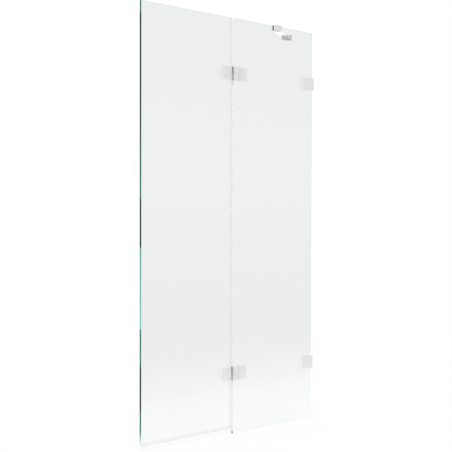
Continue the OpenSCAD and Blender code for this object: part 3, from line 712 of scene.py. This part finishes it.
@dataclass
class Shell:
    """A closed mesh: its points, the quads of its rims and the triangles of its flat caps.

    Long quads in the middle of a rim are flat, so that straight sides mirror straight, and so is
    a border.
    """

    points: np.ndarray
    quads: np.ndarray
    triangles: np.ndarray
    is_flat: np.ndarray

    @classmethod
    def from_outlines(cls, outlines: list[np.ndarray], low: float, high: float,
                      axes: Axes, arris: float = 0.0, border: float = 0.0) -> "Shell":
        """Carries a rim profile round each outline and closes both ends.

        A rim point is its outline point plus the profile's inset times the inward direction,
        at the profile's depth. The two caps share one triangulation of the outlines.

        Args:
            outlines: The outer outline anticlockwise, then any holes clockwise.
            low: Depth of the first cap.
            high: Depth of the second cap.
            axes: Where the outlines lie in the part's frame.
            arris: Radius of the rounded rims.
            border: Width of a border of quads round each cap.

        Returns:
            The shell, in millimetres.
        """
        inset, depth = round_rim(low, high, arris, border)
        rows = len(depth)
        outline = np.concatenate(outlines)
        draw = np.concatenate([inward(ring) for ring in outlines])
        flat = outline[None] + inset[:, None, None] * draw[None]
        level = np.broadcast_to(depth[:, None, None], flat.shape[:2] + (1,))
        local = np.concatenate([flat, level], axis=2).reshape(-1, 3)
        count = len(outline)
        starts = np.cumsum([0] + [len(ring) for ring in outlines[:-1]])
        following = np.concatenate([start + np.roll(np.arange(len(ring)), -1)
                                    for start, ring in zip(starts, outlines)])
        row = np.arange(rows - 1)[:, None] * count
        here, there = row + np.arange(count), row + following
        quads = np.stack([here, there, there + count, here + count], axis=2).reshape(-1, 4)
        side = np.concatenate([np.roll(ring, -1, axis=0) - ring for ring in outlines])
        is_long = np.linalg.norm(side, axis=1) > LONGEST_CHORD
        is_middle = np.arange(rows - 1) == (rows - 1) // 2
        is_border = np.diff(depth) == 0.0
        is_flat = (is_middle[:, None] & is_long) | is_border[:, None]
        cap = fill(outlines)
        triangles = np.concatenate([cap[:, ::-1], cap + (rows - 1) * count])
        matrix = axes.matrix()
        if np.linalg.det(matrix) < 0:
            quads, triangles = quads[:, ::-1], triangles[:, ::-1]
        return cls(local @ matrix, quads, triangles, is_flat.ravel())

    def volume(self) -> float:
        """Volume inside the faces.

        It is a sixth of the sum, over all triangles, of the first corner's dot product with the
        cross product of the other two.

        Returns:
            The volume, positive if the faces point outwards.
        """
        split = np.concatenate([self.triangles, self.quads[:, :3], self.quads[:, [0, 2, 3]]])
        first, second, third = (self.points[corner] for corner in split.T)
        return float((first * np.cross(second, third)).sum() / 6.0)

    def mesh(self, name: str) -> bpy.types.Mesh:
        """Makes a Blender mesh, in metres, with smooth curves and flat sides and caps.

        Args:
            name: The mesh's name.

        Returns:
            The new mesh.
        """
        mesh = bpy.data.meshes.new(name)
        sizes = np.concatenate([np.full(len(self.quads), 4), np.full(len(self.triangles), 3)])
        corners = np.concatenate([self.quads.ravel(), self.triangles.ravel()])
        mesh.vertices.add(len(self.points))
        mesh.vertices.foreach_set("co", (self.points * METRES).astype(np.float32).ravel())
        mesh.loops.add(len(corners))
        mesh.loops.foreach_set("vertex_index", corners.astype(np.int32))
        mesh.polygons.add(len(sizes))
        starts = np.concatenate([[0], np.cumsum(sizes)[:-1]])
        mesh.polygons.foreach_set("loop_start", starts.astype(np.int32))
        is_smooth = np.concatenate([~self.is_flat, np.zeros(len(self.triangles), bool)])
        mesh.polygons.foreach_set("use_smooth", is_smooth)
        mesh.update(calc_edges=True)
        mesh.validate()
        return mesh


@dataclass
class Piece(ABC):
    """A modelled piece that stands for a CAD node and rides on one body."""

    name: str
    node: str
    body: Body

    @abstractmethod
    def shell(self) -> Shell:
        """The piece's closed mesh."""

    @abstractmethod
    def finishes(self) -> list[Finish]:
        """Finish of each material slot."""

    def cutters(self) -> list[Shell]:
        """Shells that are cut out of the piece."""
        return []

    def dress(self, made: bpy.types.Object) -> None:
        """Gives the piece its finishes."""
        for finish in self.finishes():
            made.data.materials.append(finish.material())

    def build(self) -> bpy.types.Object:
        """Makes the object, cuts it, dresses it, hides its CAD node and ties it to its body.

        Returns:
            The finished object.
        """
        shell = self.shell()
        if shell.volume() <= 0:
            raise ValueError(f"{self.name} is inside out")
        made = bpy.data.objects.new(self.name, shell.mesh(self.name))
        bpy.context.scene.collection.objects.link(made)
        for cutter in self.cutters():
            cut_out(made, cutter)
        self.dress(made)
        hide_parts(self.node)
        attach(made, self.body.value)
        self.finishes()[0].slot.value
        log.info("piece %s, %d faces, for %s", self.name, len(made.data.polygons), self.node)
        return made


def cut_out(target: bpy.types.Object, cutter: Shell) -> None:
    """Cuts a shell out of an object and keeps the result as its mesh.

    Args:
        target: The object to cut.
        cutter: The shell that is taken away.
    """
    tool = bpy.data.objects.new("cutter", cutter.mesh("cutter"))
    bpy.context.scene.collection.objects.link(tool)
    cut = target.modifiers.new("cut", "BOOLEAN")
    cut.operation = "DIFFERENCE"
    cut.solver = "EXACT"
    cut.object = tool
    graph = bpy.context.evaluated_depsgraph_get()
    before = target.data
    target.data = bpy.data.meshes.new_from_object(target.evaluated_get(graph), depsgraph=graph)
    target.data.name = before.name
    target.modifiers.clear()
    bpy.data.objects.remove(tool)
    bpy.data.meshes.remove(before)


def screw_places(node: str) -> list[Point]:
    """Places of a fitting's two screws, in X and Z.

    They stand one above the other, each a head's radius inside the node's box.

    Args:
        node: The CAD node that holds the two screws.

    Returns:
        The lower place and the upper one.
    """
    head_radius = 5.8
    low, high = node_box(node)
    middle = (low[0] + high[0]) / 2
    return [(middle, low[2] + head_radius), (middle, high[2] - head_radius)]


@dataclass
class GlassPanel(Piece):
    """Sheet of toughened glass with polished edges and fixing holes."""

    screws: tuple[str, ...] = ()
    arris: float = 0.2
    border: float = 0.8
    corner: float = 1.5
    hole_radius: float = 7.0

    def shell(self) -> Shell:
        """The sheet, with a hole at each screw.

        Returns:
            The shell, in millimetres.
        """
        low, high = node_box(self.node)
        outline = front_outline(low, high, self.corner)
        holes = [circle(place, self.hole_radius)
                 for node in self.screws for place in screw_places(node)]
        return Shell.from_outlines([outline, *holes], low[1], high[1], Axes.SHEET, self.arris,
                                   self.border)

    def finishes(self) -> list[Finish]:
        """Finishes of the faces, of plain edges, of the joint's edge and of the free edge."""
        return [FACE, PLAIN_EDGE, JOINT_EDGE, FREE_EDGE]

    def dress(self, made: bpy.types.Object) -> None:
        """Gives edges their finish, and paints the free edge's green, with its painted reflection
        bands, also on a border of the faces beside it.

        The rims are the mesh's quads. An edge is a rim nearer to the outline than the arris, and
        the free edge's border is a rim nearer to that edge than the arris and border together.

        Args:
            made: The panel's object.
        """
        super().dress(made)
        corners = np.zeros(len(made.data.polygons), np.int32)
        made.data.polygons.foreach_get("loop_total", corners)
        centres = np.zeros(3 * len(corners), np.float32)
        made.data.polygons.foreach_get("center", centres)
        centres = centres.reshape(-1, 3) / METRES
        low, high = node_box(self.node)
        inset = np.minimum(centres - low, high - centres)[:, [0, 2]].min(axis=1)
        from_joint = np.abs(centres[:, 0] - LAYOUT.fixed_edge)
        from_free = centres[:, 0] - LAYOUT.free_edge
        is_rim = corners == 4
        places = [is_rim & (from_free < self.arris + self.border),
                  is_rim & (from_joint < self.arris),
                  is_rim & (inset < self.arris)]
        slots = [self.finishes().index(finish) for finish in (FREE_EDGE, JOINT_EDGE, PLAIN_EDGE)]
        finish = np.select(places, slots, self.finishes().index(FACE))
        made.data.polygons.foreach_set("material_index", finish.astype(np.int32))


@dataclass
class JointSeal(Piece):
    """Soft seal on the moving panel's edge: a channel, a hollow bulb and a fin."""

    wall: float = 1.0
    clearance: float = 0.1
    leg: float = 9.5
    fin: float = 9.0
    fin_tip: float = 0.5
    tail: float = 13.0
    bulb_gap: float = 0.3
    bulb_back: float = 0.15
    bore_reach: float = 0.9
    notch: float = 53.0
    channel_foot: float = -187.7
    past: float = 1.0

    def channel(self) -> tuple[float, float]:
        """Half the channel's inner and outer widths."""
        inner = LAYOUT.glass_thickness / 2 + self.clearance
        return inner, inner + self.wall

    def shell(self) -> Shell:
        """The section, carried up the joint.

        The section lists its corners with the reach of each one's rounding.

        Returns:
            The shell, in millimetres.
        """
        inner, outer = self.channel()
        tip, web = LAYOUT.moving_edge - self.leg, LAYOUT.moving_edge + self.clearance + self.wall
        bulb, front = LAYOUT.fixed_edge - self.bulb_gap, -inner + 2 * self.clearance
        fin_low = LAYOUT.glass_thickness / 2 + self.bulb_gap
        fin_end = LAYOUT.fixed_edge + self.fin
        back, wall = outer + self.bulb_back, self.wall
        section = [
            ((tip, -outer), 0.40), ((web, -outer), 0.70), ((web, front), 0.25),
            ((bulb, front), 1.60), ((bulb, fin_low), 0.60), ((fin_end, fin_low), 0.20),
            ((fin_end, fin_low + self.fin_tip), 0.20), ((web, back), 2.00),
            ((tip, outer), 0.40), ((tip, inner), 0.30), ((web - wall, inner), 0.25),
            ((web - wall, -inner), 0.25), ((tip, -inner), 0.30),
        ]
        hollow = [(web, front + wall), (web, back - wall), (bulb - wall, back - wall),
                  (bulb - wall, front + wall)]
        outline = softened(*listed(section))
        bore = softened(np.array(hollow), self.bore_reach)
        shift = np.array([0.0, LAYOUT.glass_y])
        return Shell.from_outlines([outline + shift, bore + shift], LAYOUT.moving_foot - self.tail,
                                   LAYOUT.top, Axes.ALONG_Z)

    def cutters(self) -> list[Shell]:
        """Room for the two hinge barrels, and for the drip seal under the channel.

        Returns:
            A box for each room, which stands past the seal's own outside.
        """
        _, outer = self.channel()
        left = LAYOUT.moving_edge - self.leg - self.past
        front = LAYOUT.glass_y - outer - self.past
        back = LAYOUT.glass_y + outer + self.past
        web = LAYOUT.moving_edge + self.clearance + self.wall + self.past
        glass_front = LAYOUT.glass_y - LAYOUT.glass_thickness / 2
        rooms = [((left, front), (web, glass_front), height - self.notch / 2,
                  height + self.notch / 2) for height in LAYOUT.hinge_heights]
        rooms.append(((left, front), (LAYOUT.moving_edge, back), LAYOUT.foot - self.past,
                      self.channel_foot))
        return [Shell.from_outlines([rectangle(low, high)], foot, top, Axes.ALONG_Z)
                for low, high, foot, top in rooms]

    def finishes(self) -> list[Finish]:
        """Clear soft plastic."""
        return [CLEAR]


@dataclass
class DripSeal(Piece):
    """Soft seal on the moving panel's foot: a channel with a thin blade below it."""

    wall: float = 1.0
    clearance: float = 0.1
    leg: float = 11.0
    blade: float = 15.0
    blade_tip: float = 0.5

    def shell(self) -> Shell:
        """The section, carried along the panel's foot.

        The section lists its corners with the reach of each one's rounding.

        Returns:
            The shell, in millimetres.
        """
        low, high = node_box(self.node)
        inner = LAYOUT.glass_thickness / 2 + self.clearance
        outer, wall = inner + self.wall, self.wall
        top, web = LAYOUT.moving_foot + self.leg, LAYOUT.moving_foot - self.clearance
        tip = web - wall - self.blade
        lean = (wall - self.blade_tip) / 2
        section = [
            ((-outer, web - wall), 1.00), ((0.0, web - wall), 0.50), ((lean, tip), 0.20),
            ((lean + self.blade_tip, tip), 0.20), ((wall, web - wall), 0.50),
            ((outer, web - wall), 1.00), ((outer, top), 0.40), ((inner, top), 0.40),
            ((inner, web), 0.25), ((-inner, web), 0.25), ((-inner, top), 0.40),
            ((-outer, top), 0.40),
        ]
        outline = softened(*listed(section)) + np.array([LAYOUT.glass_y, 0.0])
        return Shell.from_outlines([outline], low[0], high[0], Axes.ALONG_X)

    def finishes(self) -> list[Finish]:
        """Clear soft plastic."""
        return [CLEAR]


@dataclass
class Gasket(Piece):
    """Thin clear pad between a metal plate and the glass, with its edge pressed round."""

    screws: str = ""
    corner: float = 2.0
    hole_radius: float = 3.2
    hole_points: int = 32
    arris_share: float = 0.45

    def shell(self) -> Shell:
        """The pad, with a hole at each screw.

        Returns:
            The shell, in millimetres.
        """
        low, high = node_box(self.node)
        outline = front_outline(low, high, self.corner)
        holes = [circle(place, self.hole_radius, self.hole_points)
                 for place in screw_places(self.screws)]
        arris = self.arris_share * (high[1] - low[1])
        return Shell.from_outlines([outline, *holes], low[1], high[1], Axes.SHEET, arris)

    def finishes(self) -> list[Finish]:
        """Clear soft plastic."""
        return [CLEAR]


@dataclass
class RubberLining(Piece):
    """Rubber that lines the stabiliser's clamp over the top of the glass."""

    lip: float = 0.5

    def shell(self) -> Shell:
        """The lining's section, carried along the glass's top.

        Returns:
            The shell, in millimetres.
        """
        low, high = node_box(self.node)
        half = LAYOUT.glass_thickness / 2
        front, back = LAYOUT.glass_y - half, LAYOUT.glass_y + half
        corners = np.array([
            (low[1], low[2]), (front, low[2]), (front, LAYOUT.top), (back, LAYOUT.top),
            (back, low[2]), (high[1], low[2]), (high[1], high[2]), (low[1], high[2]),
        ])
        return Shell.from_outlines([softened(corners, self.lip)], low[0], high[0], Axes.ALONG_X)

    def finishes(self) -> list[Finish]:
        """Grey rubber."""
        return [RUBBER]


@dataclass
class Fittings:
    """Hinges, clamps and stabiliser: the CAD nodes that stay, with their finishes."""

    nodes: dict[str, bpy.types.Object]

    def finish(self, name: str, slot: Slot) -> Finish:
        """Finish of a CAD node, which is its slot's unless the piece is made another way.

        Args:
            name: The node's name.
            slot: The slot that the record gives it.

        Returns:
            The finish.
        """
        # Hinge leaves take chrome with painted shade round their barrel
        if name.endswith("_leaf"):
            return HINGE_CHROME_PAINTED_SHADE
        return NODE_FINISHES.get(name, CAD_FINISHES[slot])

    def dress(self) -> None:
        """Gives each CAD node that shows its finish."""
        for name, node in sorted(self.nodes.items()):
            if node.hide_render:
                continue
            for place in node.material_slots:
                finish = self.finish(name, Slot(place.material.name.split(".")[0]))
                place.material = finish.material()
            log.info("node %s in %s", name, node.material_slots[0].material.name)


@dataclass
class Studio:
    """Plain pale floor, soft light from all round and one wide lamp."""

    floor_reach: float = 3500.0
    floor_glow: float = 0.90
    floor_tint: float = 0.10
    dim: float = 0.77
    dim_side: Place = (0.0, -1.0, -0.5)
    dim_cone: tuple[float, float] = (0.0, 0.3)
    front: Place = (0.0, -1.0, 0.0)
    dim_floor: tuple[float, float] = (150.0, 1300.0)
    panel: float = 0.25
    panel_side: Place = (0.90, 0.436, 0.0)
    panel_cone: tuple[float, float] = (0.90, 0.96)
    lamp_place: Place = (-3200.0, -2600.0, 3400.0)
    lamp_aim: Place = (-500.0, 0.0, 500.0)
    lamp_size: float = 2600.0
    lamp_watts: float = 60.0

    def build(self) -> None:
        """Makes the floor, the world and the lamp."""
        self.build_floor()
        self.build_world()
        self.build_lamp()

    def build_floor(self) -> None:
        """A wide white sheet at the screen's foot."""
        reach = self.floor_reach
        corners = np.array([(-reach, -reach), (reach, -reach), (reach, reach), (-reach, reach)])
        level = np.full((4, 1), LAYOUT.foot)
        mesh = bpy.data.meshes.new("studio_floor")
        mesh.from_pydata((np.hstack([corners, level]) * METRES).tolist(), [], [(0, 1, 2, 3)])
        floor = bpy.data.objects.new("studio_floor", mesh)
        bpy.context.scene.collection.objects.link(floor)
        mesh.materials.append(self.floor_paint())

    def floor_paint(self) -> bpy.types.Material:
        """Glowing white that takes a faint shadow.

        In mirrors it fades to the room's tone on the dim side, so that no line crosses the glass
        where the floor ends.

        Returns:
            The floor's material.
        """
        paint = bpy.data.materials.new("studio_floor")
        paint.use_nodes = True
        graph = ShaderGraph(paint.node_tree)
        matt = graph.add("ShaderNodeBsdfDiffuse")
        matt.inputs["Color"].default_value = (self.floor_tint,) * 3 + (1.0,)
        glow = graph.add("ShaderNodeEmission")
        glow.inputs["Strength"].default_value = self.floor_glow
        both = graph.add("ShaderNodeAddShader")
        graph.link(matt.outputs[0], both.inputs[0])
        graph.link(glow.outputs[0], both.inputs[1])
        near, far = (distance * METRES for distance in self.dim_floor)
        mirrored = graph.add("ShaderNodeEmission")
        graph.link(self.towards(graph, "Object", self.front, near, far, 1.0, self.dim),
                   mirrored.inputs["Strength"])
        path = graph.add("ShaderNodeLightPath")
        choice = graph.add("ShaderNodeMixShader")
        in_mirror = graph.math("SUBTRACT", path.outputs["Is Glossy Ray"],
                               path.outputs["Is Transmission Ray"])
        graph.link(in_mirror, choice.inputs[0])
        graph.link(both.outputs[0], choice.inputs[1])
        graph.link(mirrored.outputs[0], choice.inputs[2])
        output = graph.add("ShaderNodeOutputMaterial")
        graph.link(choice.outputs[0], output.inputs["Surface"])
        return paint

    def build_world(self) -> None:
        """White all round; mirrors show a dimmer front and a bright panel at one side."""
        world = bpy.data.worlds.new("studio")
        bpy.context.scene.world = world
        world.use_nodes = True
        graph = ShaderGraph(world.node_tree)
        walls = self.towards(graph, "Generated", self.dim_side, *self.dim_cone, 1.0, self.dim)
        panel = self.towards(graph, "Generated", self.panel_side, *self.panel_cone, 0.0, self.panel)
        room = graph.math("ADD", walls, panel)
        path = graph.add("ShaderNodeLightPath")
        seen = graph.math("MAXIMUM", path.outputs["Is Camera Ray"],
                          path.outputs["Is Transmission Ray"])
        shown = graph.add("ShaderNodeMix", data_type="FLOAT")
        graph.link(seen, shown.inputs[0])
        graph.link(room, shown.inputs[2])
        shown.inputs[3].default_value = 1.0
        light = graph.add("ShaderNodeBackground")
        light.inputs["Color"].default_value = (1.0, 1.0, 1.0, 1.0)
        graph.link(shown.outputs[0], light.inputs["Strength"])
        output = graph.add("ShaderNodeOutputWorld")
        graph.link(light.outputs[0], output.inputs["Surface"])

    @staticmethod
    def towards(graph: ShaderGraph, coordinate: str, side: Place, start: float, end: float,
                before: float, after: float) -> bpy.types.NodeSocket:
        """Brightness that changes as a coordinate reaches out to one side.

        Args:
            graph: The node tree's graph.
            coordinate: The Texture Coordinate output that is measured along the side.
            side: Direction of the side.
            start: Reach at which the brightness starts to change.
            end: Reach at which it has changed.
            before: Brightness up to the start.
            after: Brightness from the end on.

        Returns:
            The brightness.
        """
        place = graph.add("ShaderNodeTexCoord")
        reach = graph.add("ShaderNodeVectorMath", operation="DOT_PRODUCT")
        graph.link(place.outputs[coordinate], reach.inputs[0])
        reach.inputs[1].default_value = side
        return graph.span(reach.outputs["Value"], start, end, before, after)

    def build_lamp(self) -> None:
        """One wide lamp, high in front of the screen, aimed at its middle."""
        lamp = bpy.data.lights.new("softbox", "AREA")
        lamp.shape = "SQUARE"
        lamp.size = self.lamp_size * METRES
        lamp.energy = self.lamp_watts
        held = bpy.data.objects.new("softbox", lamp)
        bpy.context.scene.collection.objects.link(held)
        place = np.array(self.lamp_place) * METRES
        way = np.array(self.lamp_aim) * METRES - place
        held.matrix_world = Matrix.Translation(place) @ aimed(way)


def aimed(way: np.ndarray) -> Matrix:
    """Turn that points a lamp's -Z along a direction, with its X level.

    Args:
        way: The direction.

    Returns:
        A 4 by 4 rotation.
    """
    yaw = math.atan2(-way[0], way[1])
    pitch = math.atan2(way[2], math.hypot(way[0], way[1]))
    return Matrix.Rotation(yaw, 4, "Z") @ Matrix.Rotation(math.pi / 2 + pitch, 4, "X")


@dataclass
class PhotoCamera:
    """Camera at the photograph's viewpoint."""

    place: Place = (-4213.1, -2907.1, 576.1)
    yaw: float = 51.92
    pitch_down: float = 1.641
    roll: float = 0.131
    lens: float = 103.53
    sensor: float = 36.0
    shift_up: float = 0.0557

    def build(self) -> None:
        """Makes the camera and gives it to the scene."""
        data = bpy.data.cameras.new("photo_camera")
        data.lens = self.lens
        data.sensor_width = self.sensor
        data.shift_y = self.shift_up
        camera = bpy.data.objects.new("photo_camera", data)
        bpy.context.scene.collection.objects.link(camera)
        camera.matrix_world = (
            Matrix.Translation(np.array(self.place) * METRES)
            @ Matrix.Rotation(-math.radians(self.yaw), 4, "Z")
            @ Matrix.Rotation(math.radians(90.0 - self.pitch_down), 4, "X")
            @ Matrix.Rotation(math.radians(self.roll), 4, "Z")
        )
        bpy.context.scene.camera = camera


class BathScreen:
    """The whole screen: its modelled pieces and its dressed fittings."""

    def glass(self) -> list[Piece]:
        """The two panels.

        Returns:
            The fixed panel and the moving one.
        """
        return [
            GlassPanel("fixed_glass_sheet", "fixed_glass", Body.FIXED,
                       screws=("lower_hinge_fixed_screws", "upper_hinge_fixed_screws",
                               "lower_clamp_screws", "upper_clamp_screws")),
            GlassPanel("moving_glass_sheet", "moving_glass", Body.MOVING,
                       screws=("lower_hinge_moving_screws", "upper_hinge_moving_screws")),
        ]

    def seals(self) -> list[Piece]:
        """The joint's seal and the drip seal."""
        return [JointSeal("joint_seal_strip", "joint_seal", Body.MOVING),
                DripSeal("drip_seal_strip", "drip_seal", Body.MOVING)]

    def gaskets(self) -> list[Piece]:
        """The pads under the leaves and clamps, and the stabiliser's lining.

        Returns:
            The eight pads, then the lining.
        """
        pads: list[Piece] = []
        for level in ("upper", "lower"):
            for side, body in (("moving", Body.MOVING), ("fixed", Body.FIXED)):
                stem = f"{level}_hinge_{side}"
                pads.append(Gasket(f"{stem}_gasket", f"{stem}_pad", body, f"{stem}_screws"))
            for side in ("front", "rear"):
                stem = f"{level}_clamp"
                pads.append(Gasket(f"{stem}_{side}_gasket", f"{stem}_{side}_pad", Body.FIXED,
                                   f"{stem}_screws"))
        return [*pads, RubberLining("stabiliser_lining", "stabiliser_liner", Body.FIXED)]

    def build(self) -> None:
        """Builds the modelled pieces, then dresses the CAD nodes that still show."""
        for piece in (*self.glass(), *self.seals(), *self.gaskets()):
            piece.build()
        Fittings(frame["nodes"]).dress()


def main() -> None:
    """Builds the camera, the studio and the screen, and reports each piece."""
    logging.basicConfig(level=logging.INFO, format="%(name)s: %(message)s")
    bpy.context.scene.view_settings.view_transform = "Standard"
    bpy.context.scene.cycles.transparent_max_bounces = CLEAR_WALLS
    PhotoCamera().build()
    Studio().build()
    BathScreen().build()


if __name__ == "__main__":
    main()
